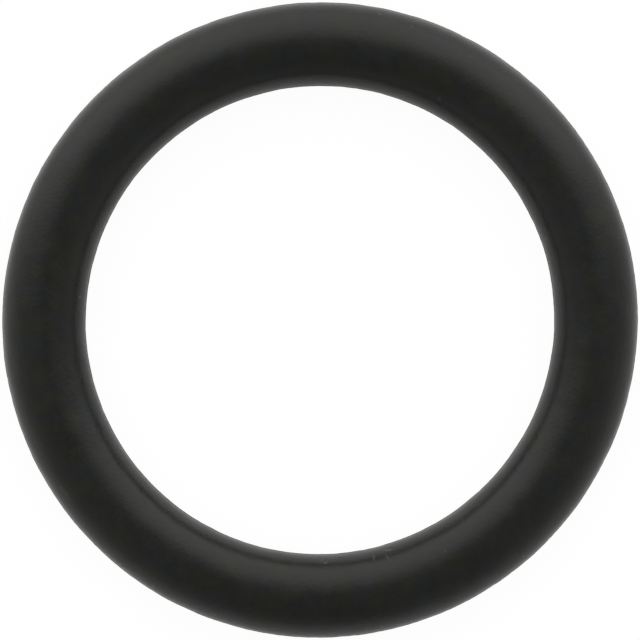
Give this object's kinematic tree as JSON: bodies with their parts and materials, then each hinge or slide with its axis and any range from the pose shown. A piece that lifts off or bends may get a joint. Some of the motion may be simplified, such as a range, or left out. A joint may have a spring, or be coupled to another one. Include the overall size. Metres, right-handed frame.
{
  "type": "rubber o-ring",
  "caption": "Moulded rubber o-ring of round section with a fine trimmed parting line, lying flat, for sealing a shaft, bore or flat joint in a groove.",
  "frame": {"origin": "centre of the ring, on the plane of its parting line", "axes": "+Z along the ring's own axis, away from the surface it lies on; +Y towards the top of the picture and +X towards its right"},
  "size_m": [0.023, 0.023, 0.003],
  "materials": {
    "rubber": "satin black moulded rubber, very fine even grain, a faint bloom towards the rims, a duller trimmed parting line, and a few specks of pale dust"
  },
  "bodies": {
    "root": {"o_ring": "rubber"}
  },
  "joints": []
}
